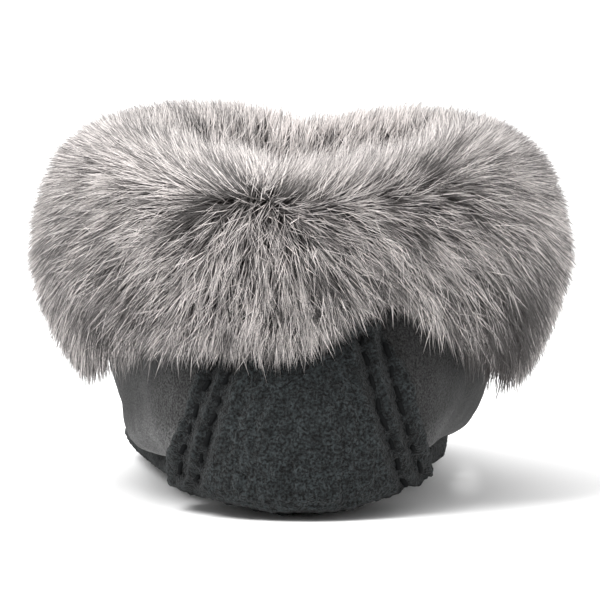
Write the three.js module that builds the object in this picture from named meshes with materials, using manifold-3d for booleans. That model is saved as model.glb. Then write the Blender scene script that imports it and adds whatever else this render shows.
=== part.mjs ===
// Fur-trimmed moccasin, a left shoe.
// Millimetres, +Z up, toe along +Y, inner side of the foot along +X.
// The origin is the middle of the heel's flat seat, on the floor.

import * as THREE from 'three';
import { mergeVertices } from 'three/addons/utils/BufferGeometryUtils.js';
import Module from 'manifold-3d';

const wasm = await Module();
wasm.setup();

// Last and sole
const soleLength = 270;
const ballWidth = 106;
const heelWidth = 78;
const heelRound = 42;
const toeRound = 70;
const toeBlunt = 2.5;
const soleThickness = 6.3;
const curlWidth = 26;
const curlHeight = 14;
const curlPower = 1.6;
const toeSpring = 6;
const edgeRound = 1.2;
const rimProud = 2.4;
const heelSeatFromBack = 28;

// Upper
const collarHeight = 88;
const collarFromBack = 20;
const collarLength = 123;
const collarWidth = 100;
const upperWall = 2.8;

// Overlays and insole
const patchThickness = 3;
const patchUnderReach = 43;
const apronThickness = 2;
const apronBackFromHeel = 150;
const apronFrontFromHeel = 237;
const apronWidth = 62;
const apronBackShare = 0.8;
const apronRoundShare = 1.25;
const apronCutShare = 0.3;
const insoleThickness = 3;
const insoleInset = 6;

// Fur cuff
const furReach = 25;
const furHemThickness = 13;
const furInside = 11;
const furInsideDepth = 0.2;
const furInsideEdge = 0.6;
const furLipDrop = 0.035;
const lockLength = 17;
const lockWidth = 15;
const lockThickness = 7;

// Clearances between pieces
const seatGap = 0.3;
const pocketGap = 0.5;

// Fineness of the faceted forms
const aroundCount = 48;
const upperRows = 10;
const heelCupSteps = 8;
const heelCupRows = 8;
const apronSteps = 10;
const apronRows = 8;

// Plan of the sole: a row for each station from heel to toe.
// centre is a share of the ball width, heel and ball are shares of those widths' halves.
const solePlan = [
  { at: 0.0, centre: -0.011, heel: 1.0, ball: 0.0 },
  { at: 0.16, centre: -0.011, heel: 1.0, ball: 0.0 },
  { at: 0.24, centre: -0.021, heel: 0.92, ball: 0.119 },
  { at: 0.32, centre: -0.024, heel: 0.7, ball: 0.318 },
  { at: 0.42, centre: -0.031, heel: 0.42, ball: 0.582 },
  { at: 0.54, centre: -0.047, heel: 0.12, ball: 0.86 },
  { at: 0.64, centre: -0.055, heel: 0.0, ball: 0.984 },
  { at: 0.7, centre: -0.059, heel: 0.0, ball: 1.0 },
  { at: 0.79, centre: -0.05, heel: 0.0, ball: 0.975 },
  { at: 0.89, centre: -0.03, heel: 0.0, ball: 0.93 },
  { at: 1.0, centre: -0.005, heel: 0.0, ball: 0.9 },
];

// Side of the sole: heel is the share of the heel patch's seat that the sole is lifted by,
// toe the share of the toe spring.
const soleSide = [
  { at: 0.0, heel: 1.0, toe: 0.0 },
  { at: 0.31, heel: 1.0, toe: 0.0 },
  { at: 0.43, heel: 0.0, toe: 0.0 },
  { at: 0.83, heel: 0.0, toe: 0.0 },
  { at: 1.0, heel: 0.0, toe: 1.0 },
];

// Height that the sole's edge curls up to, as a share of the curl's height.
const curlShape = [
  { at: 0.0, lateral: 0.42, medial: 0.42 },
  { at: 0.03, lateral: 0.58, medial: 0.7 },
  { at: 0.09, lateral: 0.72, medial: 1.0 },
  { at: 0.16, lateral: 0.64, medial: 0.98 },
  { at: 0.26, lateral: 0.46, medial: 0.8 },
  { at: 0.42, lateral: 0.42, medial: 0.48 },
  { at: 0.62, lateral: 0.42, medial: 0.34 },
  { at: 1.0, lateral: 0.36, medial: 0.36 },
];

// Lower half of the upper's ribs, a row for each station of the sole's edge: how far a rib
// swells out from the edge, as a share of the ball width, and up, of the collar height.
const lowRibs = [
  { at: 0.0, lateral: 0.03, medial: 0.03, rise: 0.27 },
  { at: 0.1, lateral: 0.11, medial: 0.12, rise: 0.15 },
  { at: 0.25, lateral: 0.17, medial: 0.22, rise: 0.08 },
  { at: 0.42, lateral: 0.14, medial: 0.2, rise: 0.08 },
  { at: 0.6, lateral: 0.09, medial: 0.17, rise: 0.12 },
  { at: 0.8, lateral: 0.1, medial: 0.12, rise: 0.25 },
  { at: 1.0, lateral: 0.07, medial: 0.07, rise: 0.36 },
];

// Upper half of the ribs: how far a rib swells out from the collar, and down, as the same shares.
const highRibs = [
  { at: 0.0, lateral: 0.05, medial: 0.05, drop: 0.27 },
  { at: 0.1, lateral: 0.07, medial: 0.08, drop: 0.28 },
  { at: 0.25, lateral: 0.08, medial: 0.09, drop: 0.3 },
  { at: 0.42, lateral: 0.09, medial: 0.08, drop: 0.3 },
  { at: 0.6, lateral: 0.16, medial: 0.14, drop: 0.24 },
  { at: 0.8, lateral: 0.38, medial: 0.36, drop: 0.15 },
  { at: 1.0, lateral: 0.58, medial: 0.58, drop: 0.12 },
];

// How far the sole's edge stands out from the suede, as a share of rimProud.
const rimStep = [
  { at: 0.0, lateral: 0.0, medial: 0.0 },
  { at: 0.12, lateral: 0.0, medial: 0.0 },
  { at: 0.22, lateral: 1.0, medial: 0.0 },
  { at: 0.55, lateral: 1.0, medial: 0.0 },
  { at: 0.7, lateral: 1.0, medial: 1.0 },
  { at: 1.0, lateral: 1.0, medial: 1.0 },
];

// Height of the collar from its back to its front, as a share of the collar height.
const collarLine = [
  { at: 0.0, height: 1.0 },
  { at: 0.5, height: 0.955 },
  { at: 1.0, height: 1.045 },
];

// Outline of the heel patch seen from behind: height above the floor as a share of the
// collar height, half as a share of half the heel width.
const patchShape = [
  { height: -0.1, half: 0.99 },
  { height: 0.12, half: 0.99 },
  { height: 0.23, half: 0.91 },
  { height: 0.36, half: 0.79 },
  { height: 0.48, half: 0.715 },
  { height: 0.6, half: 0.58 },
  { height: 0.66, half: 0.52 },
];

// Fur cuff, a row for each turn round the collar from the back by the inner side.
// hem is the share of a rib where the cuff ends, reach a share of the fur's reach out from
// the suede, crest a share of that reach above the collar.
const cuffShape = [
  { at: 0.0, hem: 0.46, reach: 1.0, crest: 0.36 },
  { at: 0.02, hem: 0.52, reach: 0.98, crest: 0.38 },
  { at: 0.045, hem: 0.63, reach: 0.92, crest: 0.44 },
  { at: 0.07, hem: 0.56, reach: 0.97, crest: 0.52 },
  { at: 0.12, hem: 0.46, reach: 1.04, crest: 0.8 },
  { at: 0.16, hem: 0.43, reach: 1.06, crest: 1.0 },
  { at: 0.24, hem: 0.46, reach: 1.05, crest: 1.06 },
  { at: 0.34, hem: 0.6, reach: 1.02, crest: 0.9 },
  { at: 0.43, hem: 0.74, reach: 0.98, crest: 0.72 },
  { at: 0.49, hem: 0.8, reach: 0.84, crest: 0.6 },
  { at: 0.56, hem: 0.74, reach: 1.0, crest: 0.72 },
  { at: 0.66, hem: 0.62, reach: 1.06, crest: 0.9 },
  { at: 0.76, hem: 0.48, reach: 1.12, crest: 1.06 },
  { at: 0.84, hem: 0.46, reach: 1.1, crest: 0.98 },
  { at: 0.9, hem: 0.48, reach: 1.04, crest: 0.7 },
  { at: 0.96, hem: 0.46, reach: 1.0, crest: 0.44 },
  { at: 1.0, hem: 0.46, reach: 1.0, crest: 0.36 },
];

// Rows of fur locks from the hem to the inside: place is the share of the way from the hem
// over the crest, count the locks in the row, size a share of the lock's length, lean how far
// the tips stand off the fur.
const lockRows = [
  { place: 0.1, count: 22, size: 0.62, lean: 0.15 },
  { place: 0.23, count: 22, size: 1.05, lean: 0.25 },
  { place: 0.4, count: 22, size: 1.05, lean: 0.35 },
  { place: 0.56, count: 16, size: 0.95, lean: 0.38 },
];

// Value of one column of a table, on a smooth curve that never overshoots its rows
function readTable(rows, column, at) {
  const last = rows.length - 1;
  if (at <= rows[0].at) return rows[0][column];
  if (at >= rows[last].at) return rows[last][column];
  let k = 0;
  while (at > rows[k + 1].at) k += 1;
  const chord = (j) => (rows[j + 1][column] - rows[j][column]) / (rows[j + 1].at - rows[j].at);
  const slope = (j) => {
    if (j === 0 || j === last || chord(j - 1) * chord(j) <= 0) return 0;
    return (2 * chord(j - 1) * chord(j)) / (chord(j - 1) + chord(j));
  };
  const span = rows[k + 1].at - rows[k].at;
  const t = (at - rows[k].at) / span;
  const rise = rows[k + 1][column] - rows[k][column];
  const bend = (slope(k) * (1 - t) - slope(k + 1) * t) * span + rise * (2 * t - 1);
  return rows[k][column] + rise * t + t * (1 - t) * bend;
}

// Share of the way from heel to toe at an angle round the shoe
const stationAt = (angle) => (1 - Math.cos(angle)) / 2;
const isMedial = (angle) => Math.sin(angle) >= 0;

// A table's value between its lateral and medial columns, blended at heel and toe
function sideColumn(rows, angle) {
  const station = stationAt(angle);
  const lateral = readTable(rows, 'lateral', station);
  const medial = readTable(rows, 'medial', station);
  return lateral + ((medial - lateral) * (1 + Math.sin(angle))) / 2;
}

// Rounding of the plan's ends, a share of the half width
function endRound(y) {
  const heel = Math.max(0, (heelRound - y) / heelRound);
  const toe = Math.max(0, (y - soleLength + toeRound) / toeRound);
  return Math.sqrt(Math.max(0, 1 - heel ** 2)) * Math.max(0, 1 - toe ** toeBlunt) ** (1 / toeBlunt);
}

// A small step, in radians, shares or millimetres, that directions are worked out over
const step = 0.002;

// Outline of the sole in plan
function outlinePoint(angle) {
  const station = stationAt(angle);
  const y = soleLength * station;
  const heelHalf = (readTable(solePlan, 'heel', station) * heelWidth) / 2;
  const ballHalf = (readTable(solePlan, 'ball', station) * ballWidth) / 2;
  const half = (heelHalf + ballHalf) * endRound(y);
  const centre = readTable(solePlan, 'centre', station) * ballWidth;
  return new THREE.Vector3(centre + (isMedial(angle) ? half : -half), y, 0);
}

// Outward direction of a plan curve
function planNormal(curve, angle) {
  const along = curve(angle + step).sub(curve(angle - step));
  return new THREE.Vector3(along.y, -along.x, 0).normalize();
}

function insetPoint(angle, inset) {
  return outlinePoint(angle).addScaledVector(planNormal(outlinePoint, angle), -inset);
}

// Height of the sole's underside: its seat, and its curl towards the edge
const patchSeat = patchThickness + seatGap;
const seatAt = (y) => patchSeat * readTable(soleSide, 'heel', y / soleLength);
const springAt = (y) => toeSpring * readTable(soleSide, 'toe', y / soleLength);
function underHeight(angle, inset) {
  const { y } = insetPoint(angle, inset);
  const curl = Math.max(0, 1 - inset / curlWidth) ** curlPower;
  return springAt(y) + seatAt(y) * (1 - curl) + curlHeight * sideColumn(curlShape, angle) * curl;
}
function underPoint(angle, inset, raise = 0) {
  const point = insetPoint(angle, inset);
  point.z = underHeight(angle, inset) + raise;
  return point;
}
function underNormal(angle, inset) {
  const slope = (underHeight(angle, inset) - underHeight(angle, inset + step)) / step;
  const normal = planNormal(outlinePoint, angle).multiplyScalar(slope);
  normal.z = -1;
  return normal.normalize();
}

// Upper: ribs from the sole's edge to the collar
function collarPoint(angle) {
  const around = new THREE.Vector3((collarWidth / 2) * Math.sin(angle), 0, 0);
  around.y = collarFromBack + collarLength * stationAt(angle);
  around.z = collarHeight * readTable(collarLine, 'height', stationAt(angle));
  return around;
}
function stepIn(angle) {
  const station = stationAt(angle);
  return rimProud * readTable(rimStep, isMedial(angle) ? 'medial' : 'lateral', station);
}
function upperPoint(angle, share) {
  const inset = stepIn(angle);
  const station = stationAt(angle);
  const foot = underPoint(angle, inset, soleThickness + seatGap);
  const collar = collarPoint(angle);
  const low = foot.clone();
  low.addScaledVector(planNormal(outlinePoint, angle), ballWidth * sideColumn(lowRibs, angle));
  low.z += collarHeight * readTable(lowRibs, 'rise', station);
  const high = collar.clone();
  high.addScaledVector(planNormal(collarPoint, angle), ballWidth * sideColumn(highRibs, angle));
  high.z -= collarHeight * readTable(highRibs, 'drop', station);
  return new THREE.CubicBezierCurve3(foot, low, high, collar).getPoint(share);
}
function upperFrame(angle, share) {
  const up = upperPoint(angle, Math.min(1, share + step)).sub(upperPoint(angle, Math.max(0, share - step)));
  const around = upperPoint(angle + step, share).sub(upperPoint(angle - step, share));
  return { normal: around.cross(up).normalize(), up: up.normalize() };
}
function upperOffset(angle, share, offset) {
  return upperPoint(angle, share).addScaledVector(upperFrame(angle, share).normal, offset);
}

// A geometry from points and triangles
function geometryOf(points, faces) {
  const geometry = new THREE.BufferGeometry();
  const places = points.flatMap((p) => p.toArray());
  geometry.setAttribute('position', new THREE.Float32BufferAttribute(places, 3));
  geometry.setIndex(faces.flat());
  return geometry;
}

// Distances in from the sole's edge at which its curl is drawn
const curlInsets = [curlWidth, (curlWidth + insoleInset) / 2, insoleInset, curlWidth * 0.12];
const angles = Array.from({ length: aroundCount }, (unused, k) => (2 * Math.PI * k) / aroundCount);

// Faces between rings of equal length, from each ring to the next. From the mirrored ring on,
// their diagonals lean the other way, so that an upper side fits the underside laid on it.
function ringFaces(ringCount, size, mirroredFrom = ringCount) {
  const faces = [];
  for (let ring = 0; ring + 1 < ringCount; ring += 1) {
    for (let k = 0; k < size; k += 1) {
      const a = ring * size + k;
      const b = ring * size + ((k + 1) % size);
      if (ring < mirroredFrom) faces.push([a, b, b + size], [a, b + size, a + size]);
      else faces.push([a, b, a + size], [b, b + size, a + size]);
    }
  }
  return faces;
}

// Faces across a ring, joining its two sides from heel to toe
function crossFaces(start, size, facingUp) {
  const faces = [];
  for (let k = 0; k < size / 2; k += 1) {
    const near = [start + k, start + k + 1];
    const far = [start + ((size - k) % size), start + size - k - 1];
    if (far[0] !== near[0]) faces.push([near[0], near[1], far[0]]);
    if (far[1] !== near[1]) faces.push([near[1], far[1], far[0]]);
  }
  return facingUp ? faces : faces.map(([a, b, c]) => [a, c, b]);
}

// A closed solid from rings that start under its middle and end over it
function ringSolid(rings) {
  const points = rings.flatMap((ring) => angles.map(ring));
  const lastRing = (rings.length - 1) * aroundCount;
  const faces = ringFaces(rings.length, aroundCount, rings.length / 2);
  faces.push(...crossFaces(0, aroundCount, false), ...crossFaces(lastRing, aroundCount, true));
  return geometryOf(points, faces);
}

// A closed solid from an open surface, between two offsets along its normals
function thicken(points, normals, faces, low, high) {
  const count = points.length;
  const shifted = (offset) => points.map((p, k) => p.clone().addScaledVector(normals[k], offset));
  const all = [...shifted(high), ...shifted(low)];
  const out = faces.map((face) => [...face]);
  const edges = new Map();
  for (const [a, b, c] of faces) {
    out.push([a + count, c + count, b + count]);
    for (const [from, to] of [[a, b], [b, c], [c, a]]) {
      if (!edges.delete(`${to}_${from}`)) edges.set(`${from}_${to}`, [from, to]);
    }
  }
  for (const [from, to] of edges.values()) {
    out.push([to, from, from + count], [to, from + count, to + count]);
  }
  return geometryOf(all, out);
}

// Solids for joining and cutting
function solidOf(geometry) {
  const bare = geometry.clone();
  bare.deleteAttribute('normal');
  bare.deleteAttribute('uv');
  const merged = mergeVertices(bare, 1e-4);
  const vertProperties = new Float32Array(merged.attributes.position.array);
  const triVerts = new Uint32Array(merged.index.array);
  return new wasm.Manifold(new wasm.Mesh({ numProp: 3, vertProperties, triVerts }));
}
function geometryFrom(solid) {
  const mesh = solid.getMesh();
  const geometry = new THREE.BufferGeometry();
  geometry.setAttribute('position', new THREE.BufferAttribute(mesh.vertProperties, 3));
  geometry.setIndex(new THREE.BufferAttribute(mesh.triVerts, 1));
  return geometry;
}

// Sole: one felt sheet whose edge curls up round the foot
function soleGeometry() {
  const under = curlInsets.map((inset) => (angle) => underPoint(angle, inset));
  const over = [...curlInsets].reverse().map((inset) => (angle) => underPoint(angle, inset, soleThickness));
  const edgeLow = (angle) => underPoint(angle, 0, edgeRound);
  const edgeHigh = (angle) => underPoint(angle, 0, soleThickness - edgeRound);
  return ringSolid([...under, edgeLow, edgeHigh, ...over]);
}

// Insole: a thin felt footbed on the sole, inside the upper's wall
function insoleGeometry() {
  const insets = curlInsets.slice(0, 3);
  const seat = soleThickness + seatGap;
  const under = insets.map((inset) => (angle) => underPoint(angle, inset, seat));
  const top = seat + insoleThickness;
  const over = [...insets].reverse().map((inset) => (angle) => underPoint(angle, inset, top));
  return ringSolid([...under, ...over]);
}

// Upper: one hollow suede shell, open at the collar and underneath
function upperShell(low, high, rimGap) {
  const points = [];
  const normals = [];
  for (let row = 0; row <= upperRows; row += 1) {
    for (const angle of angles) {
      points.push(upperPoint(angle, row / upperRows));
      normals.push(upperFrame(angle, row / upperRows).normal);
    }
  }
  if (rimGap > 0) {
    for (const angle of angles) {
      const { normal, up } = upperFrame(angle, 1);
      points.push(upperPoint(angle, 1).addScaledVector(up, rimGap));
      normals.push(normal);
    }
  }
  const faces = ringFaces(points.length / aroundCount, aroundCount);
  return thicken(points, normals, faces, low, high);
}

// Heel cup: the form that the heel patch is cut from, over the upper, the sole's edge and
// the underside of the heel
function heelCup(low, high) {
  const insets = [...curlInsets, 0];
  const shares = Array.from({ length: heelCupRows }, (unused, row) => row / upperRows);
  const size = 2 * heelCupSteps + 1;
  const points = [];
  const normals = [];
  const add = (makePoint, makeNormal) => {
    for (let k = -heelCupSteps; k <= heelCupSteps; k += 1) {
      const angle = (2 * Math.PI * k) / aroundCount;
      points.push(makePoint(angle));
      normals.push(makeNormal(angle));
    }
  };
  for (const inset of insets) {
    add((angle) => underPoint(angle, inset), (angle) => underNormal(angle, inset));
  }
  add((angle) => underPoint(angle, 0, edgeRound), (angle) => planNormal(outlinePoint, angle));
  for (const share of shares) {
    add((angle) => upperPoint(angle, share), (angle) => upperFrame(angle, share).normal);
  }
  const faces = [];
  for (let ring = 0; ring < insets.length + shares.length; ring += 1) {
    for (let k = 0; k + 1 < size; k += 1) {
      const a = ring * size + k;
      faces.push([a, a + 1, a + 1 + size], [a, a + 1 + size, a + size]);
    }
  }
  const middle = heelCupSteps;
  for (let k = 0; k < heelCupSteps; k += 1) {
    const left = [middle - k, middle - k - 1];
    const right = [middle + k, middle + k + 1];
    if (k > 0) faces.push([left[0], right[1], right[0]]);
    faces.push([left[0], left[1], right[1]]);
  }
  return solidOf(thicken(points, normals, faces, low, high));
}

// Heel patch: felt cut to a trapezoid seen from behind, sewn over the heel and under it
function heelPatch(low, high, grow) {
  const heelHalf = heelWidth / 2;
  const sides = patchShape.map(({ height, half }) => [half * heelHalf + grow, height * collarHeight]);
  const top = sides[sides.length - 1];
  top[1] += grow;
  const outline = [...sides, ...[...sides].reverse().map(([x, z]) => [-x, z])];
  const shape = new THREE.Shape(outline.map(([x, z]) => new THREE.Vector2(x, z)));
  const depth = patchUnderReach + heelWidth;
  const prism = new THREE.ExtrudeGeometry(shape, { depth, bevelEnabled: false });
  prism.rotateX(Math.PI / 2);
  prism.translate(solePlan[0].centre * ballWidth, patchUnderReach + grow, 0);
  return heelCup(low, high).intersect(solidOf(prism));
}

// Apron: a panel over the instep with a round toe, cut from the upper's own surface
function apron(low, high, grow) {
  const points = [];
  const normals = [];
  const faces = [];
  const columns = 2 * apronSteps;
  for (let row = 0; row <= apronRows; row += 1) {
    for (let column = 0; column <= columns; column += 1) {
      const angle = Math.PI + (2 * Math.PI * (column - apronSteps)) / aroundCount;
      const share = (upperRows - apronRows + row) / upperRows;
      points.push(upperPoint(angle, share));
      normals.push(upperFrame(angle, share).normal);
      const a = row * (columns + 1) + column;
      const up = a + columns + 1;
      if (row < apronRows && column < columns) faces.push([a, a + 1, up + 1], [a, up + 1, up]);
    }
  }
  const half = apronWidth / 2 + grow;
  const backHalf = half * apronBackShare;
  const round = half * apronRoundShare;
  const back = apronBackFromHeel - grow;
  const front = apronFrontFromHeel + grow;
  const shape = new THREE.Shape();
  shape.moveTo(backHalf, back);
  shape.lineTo(half, front - round);
  shape.absellipse(0, front - round, half, round, 0, Math.PI, false, 0);
  shape.lineTo(-backHalf, back);
  const options = { depth: collarHeight, bevelEnabled: false, curveSegments: 14 };
  const prism = new THREE.ExtrudeGeometry(shape, options);
  prism.translate(0, 0, collarHeight * apronCutShare);
  return solidOf(thicken(points, normals, faces, low, high)).intersect(solidOf(prism));
}

// Fur cuff: one point of its closed section, by its place from the hem over the crest
const seatShares = [0, 0.5, 1];
const furShares = [0, 0.22, 0.44, 0.66, 0.88];
const crestTurns = [0.12, 0.3, 0.5, 0.7, 0.88];

function cuffColumn(name, angle) {
  const turn = angle / (2 * Math.PI);
  return readTable(cuffShape, name, turn - Math.floor(turn));
}
function cuffSection(angle) {
  const hem = cuffColumn('hem', angle);
  const reach = furReach * cuffColumn('reach', angle);
  const crest = furReach * cuffColumn('crest', angle);
  const rib = (share) => hem + (1 - hem) * share;
  const inner = upperWall + seatGap;
  const depth = 1 - furInsideDepth;
  const middle = -upperWall / 2;
  const { normal, up } = upperFrame(angle, 1);
  const collar = upperPoint(angle, 1);
  const fullness = (share) => furHemThickness + (reach - furHemThickness) * Math.sin((Math.PI / 2) * share);
  const around = (turn) => {
    const lean = Math.PI * turn;
    const side = lean < Math.PI / 2 ? reach : inner + furInside;
    const out = collar.clone().addScaledVector(normal, side * Math.cos(lean));
    return out.addScaledVector(up, crest * Math.sin(lean));
  };
  return {
    seat: seatShares.map((share) => upperOffset(angle, hem + (depth - hem) * share, middle)),
    fur: [
      upperOffset(angle, hem - furLipDrop, furHemThickness / 2),
      ...furShares.map((share) => upperOffset(angle, rib(share), fullness(share))),
      ...crestTurns.map(around),
      upperOffset(angle, 1 - furInsideDepth / 2, -inner - furInside),
      upperOffset(angle, depth, -inner - furInside * furInsideEdge),
    ],
  };
}

// A point of the fur's outer face, place 0 at the hem and 1 at the inside, with its
// directions along the fur and off it
function furPoint(angle, place) {
  const { fur } = cuffSection(angle);
  const spot = place * (fur.length - 1);
  const k = Math.min(fur.length - 2, Math.floor(spot));
  const point = fur[k].clone().lerp(fur[k + 1], spot - k);
  const along = fur[k].clone().sub(fur[k + 1]).normalize();
  const { fur: next } = cuffSection(angle + step);
  const side = next[k].clone().sub(fur[k]).normalize();
  const off = side.clone().cross(along).normalize().negate();
  return { point, along, side, off };
}

// Form of a lock: where its root, middle and tip lie along its length, how deep the root
// sinks, how far the tip droops and how much is left of its section at the middle
const lockForm = { root: -0.35, middle: 0.4, tip: 1.0, sink: 0.3, droop: 0.2, taper: 0.8 };

// One lock: a flat wedge that bends to its tip, its root inside the fur
function lock(angle, place, length, lean) {
  const { point, along, side, off } = furPoint(angle, place);
  const heading = along.clone().addScaledVector(off, lean).normalize();
  const spot = (share) => point.clone().addScaledVector(heading, length * share);
  const sunk = -lockThickness * lockForm.sink;
  const root = spot(lockForm.root).addScaledVector(off, sunk);
  const middle = spot(lockForm.middle).addScaledVector(off, sunk);
  const tip = spot(lockForm.tip).addScaledVector(off, sunk);
  tip.addScaledVector(along, length * lockForm.droop * lean);
  const ring = (centre, width, thickness) => [
    centre.clone().addScaledVector(side, width / 2),
    centre.clone().addScaledVector(off, thickness / 2),
    centre.clone().addScaledVector(side, -width / 2),
    centre.clone().addScaledVector(off, -thickness / 2),
  ];
  const { taper } = lockForm;
  const rootRing = ring(root, lockWidth, lockThickness);
  const middleRing = ring(middle, lockWidth * taper, lockThickness * taper);
  const points = [...rootRing, ...middleRing, tip];
  const faces = ringFaces(2, 4);
  for (let k = 0; k < 4; k += 1) faces.push([4 + k, 4 + ((k + 1) % 4), 8]);
  faces.push([0, 2, 1], [0, 3, 2]);
  return solidOf(geometryOf(points, faces));
}

function furCuff() {
  const sections = angles.map((angle) => {
    const { seat, fur } = cuffSection(angle);
    return [...seat, ...[...fur].reverse()];
  });
  const size = sections[0].length;
  const faces = [];
  for (let k = 0; k < aroundCount; k += 1) {
    const next = (k + 1) % aroundCount;
    for (let j = 0; j < size; j += 1) {
      const above = (j + 1) % size;
      faces.push([k * size + j, k * size + above, next * size + above]);
      faces.push([k * size + j, next * size + above, next * size + j]);
    }
  }
  let cuff = solidOf(geometryOf(sections.flat(), faces));
  lockRows.forEach(({ place, count, size: share, lean }, row) => {
    for (let k = 0; k < count; k += 1) {
      const wave = Math.sin(k * 2.4 + row * 1.7);
      const angle = (2 * Math.PI * (k + (row % 2) / 2 + 0.16 * wave)) / count;
      cuff = cuff.add(lock(angle, place + 0.015 * wave, lockLength * share * (1 + 0.12 * wave), lean));
    }
  });
  cuff = cuff.subtract(solidOf(upperShell(-upperWall - seatGap, seatGap, seatGap)));
  cuff = cuff.subtract(heelPatch(0, patchSeat + pocketGap, pocketGap));
  return cuff.subtract(apron(0, apronThickness + seatGap + pocketGap, pocketGap));
}

// Materials
const soleFelt = new THREE.MeshStandardMaterial({ color: 0x3b4142, roughness: 0.95, metalness: 0 });
const suede = new THREE.MeshStandardMaterial({ color: 0x5d6163, roughness: 0.85, metalness: 0 });
const felt = new THREE.MeshStandardMaterial({ color: 0x353c3d, roughness: 0.95, metalness: 0 });
const lining = new THREE.MeshStandardMaterial({ color: 0x8a857e, roughness: 0.95, metalness: 0 });
const fur = new THREE.MeshStandardMaterial({ color: 0x8c8583, roughness: 0.9, metalness: 0 });

function piece(name, geometry, material) {
  const mesh = new THREE.Mesh(geometry, material);
  mesh.name = name;
  return mesh;
}

const shoe = new THREE.Group();
shoe.add(piece('sole', soleGeometry(), soleFelt));
shoe.add(piece('insole', insoleGeometry(), lining));
shoe.add(piece('upper', upperShell(-upperWall, 0, 0), suede));
shoe.add(piece('heel_patch', geometryFrom(heelPatch(seatGap, patchSeat, 0)), felt));
shoe.add(piece('apron', geometryFrom(apron(seatGap, seatGap + apronThickness, 0)), suede));
shoe.add(piece('fur_cuff', geometryFrom(furCuff()), fur));
shoe.position.y = -heelSeatFromBack;

export default shoe;
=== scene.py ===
"""Fur-trimmed moccasin, left shoe: the finished surfaces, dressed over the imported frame."""

import math

import bpy
import numpy as np
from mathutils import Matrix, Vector, kdtree, noise
from mathutils.bvhtree import BVHTree


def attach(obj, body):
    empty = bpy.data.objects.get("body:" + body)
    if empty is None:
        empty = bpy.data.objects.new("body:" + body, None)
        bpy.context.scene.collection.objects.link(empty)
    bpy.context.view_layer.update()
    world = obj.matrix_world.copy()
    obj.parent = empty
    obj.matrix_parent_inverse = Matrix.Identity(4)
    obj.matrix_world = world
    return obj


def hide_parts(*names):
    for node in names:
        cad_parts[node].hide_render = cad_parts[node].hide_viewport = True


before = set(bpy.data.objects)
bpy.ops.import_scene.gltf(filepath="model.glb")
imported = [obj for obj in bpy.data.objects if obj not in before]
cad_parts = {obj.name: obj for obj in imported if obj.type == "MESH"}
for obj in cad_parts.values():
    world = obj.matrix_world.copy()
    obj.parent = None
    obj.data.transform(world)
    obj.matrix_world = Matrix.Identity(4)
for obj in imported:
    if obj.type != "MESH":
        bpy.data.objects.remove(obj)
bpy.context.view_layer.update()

bl_info = {
    "name": "Fur-trimmed moccasin",
    "version": (1, 0, 0),
    "blender": (4, 5, 0),
    "location": "View3D > Sidebar > Moccasin",
    "description": "Dresses a soft left shoe in suede, felt, thread and rabbit fur",
    "category": "Object",
}

MM = 0.001
COLOUR = {"subtype": "COLOR", "size": 3, "min": 0.0, "max": 1.0}
LENGTH = {"subtype": "DISTANCE", "unit": "LENGTH", "min": 0.0}


# Sizes and colours that a user would change


class FurSettings(bpy.types.PropertyGroup):
    tufts: bpy.props.IntProperty(
        name="Tufts", description="Number of small tufts that the hairs gather in", default=6000, min=10
    )
    hairs: bpy.props.IntProperty(
        name="Short hairs", description="Number of short hairs, that make the coat", default=120000, min=100
    )
    hair_length: bpy.props.FloatProperty(
        name="Short hair", description="Length of a short hair", default=14.5 * MM, **LENGTH
    )
    hair_width: bpy.props.FloatProperty(
        name="Short hair's width", description="Width of a short hair at its root", default=0.5 * MM, **LENGTH
    )
    guards: bpy.props.IntProperty(
        name="Guard hairs",
        description="Number of long hairs, that stand out of the coat",
        default=32000,
        min=10,
    )
    guard_length: bpy.props.FloatProperty(
        name="Guard hair", description="Length of a guard hair", default=17.5 * MM, **LENGTH
    )
    guard_width: bpy.props.FloatProperty(
        name="Guard hair's width",
        description="Width of a guard hair at its root",
        default=0.34 * MM,
        **LENGTH,
    )
    inset: bpy.props.FloatProperty(
        name="Inset", description="How far the coat lies inside the cuff's outline", default=2 * MM, **LENGTH
    )
    pale: bpy.props.FloatVectorProperty(
        name="Pale hair", description="Colour of the palest hairs", default=(0.95, 0.885, 0.86), **COLOUR
    )
    dark: bpy.props.FloatVectorProperty(
        name="Dark hair", description="Colour of the darkest hairs", default=(0.04, 0.033, 0.031), **COLOUR
    )
    root: bpy.props.FloatVectorProperty(
        name="Underfur",
        description="Colour of the hairs near the skin",
        default=(0.035, 0.03, 0.029),
        **COLOUR,
    )


class FeltSettings(bpy.types.PropertyGroup):
    patch: bpy.props.FloatVectorProperty(
        name="Heel patch", description="Colour of the heel patch", default=(0.0148, 0.0179, 0.0188), **COLOUR
    )
    sole: bpy.props.FloatVectorProperty(
        name="Sole", description="Colour of the sole's felt", default=(0.0125, 0.0142, 0.0145), **COLOUR
    )
    footbed: bpy.props.FloatVectorProperty(
        name="Footbed", description="Colour of the footbed", default=(0.21, 0.195, 0.18), **COLOUR
    )
    nap: bpy.props.FloatProperty(
        name="Nap", description="Height of the heel patch's crumbly nap", default=0.75 * MM, **LENGTH
    )


class SuedeSettings(bpy.types.PropertyGroup):
    colour: bpy.props.FloatVectorProperty(
        name="Suede", description="Colour of the suede", default=(0.0225, 0.0225, 0.0225), **COLOUR
    )
    # Pale colour of the painted highlights on the suede's folds, rim and lit side, and of the apron's even
    # tint
    rubbed: bpy.props.FloatVectorProperty(
        name="Suede highlight", description="Colour of folds and edges", default=(0.14, 0.14, 0.14), **COLOUR
    )


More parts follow.
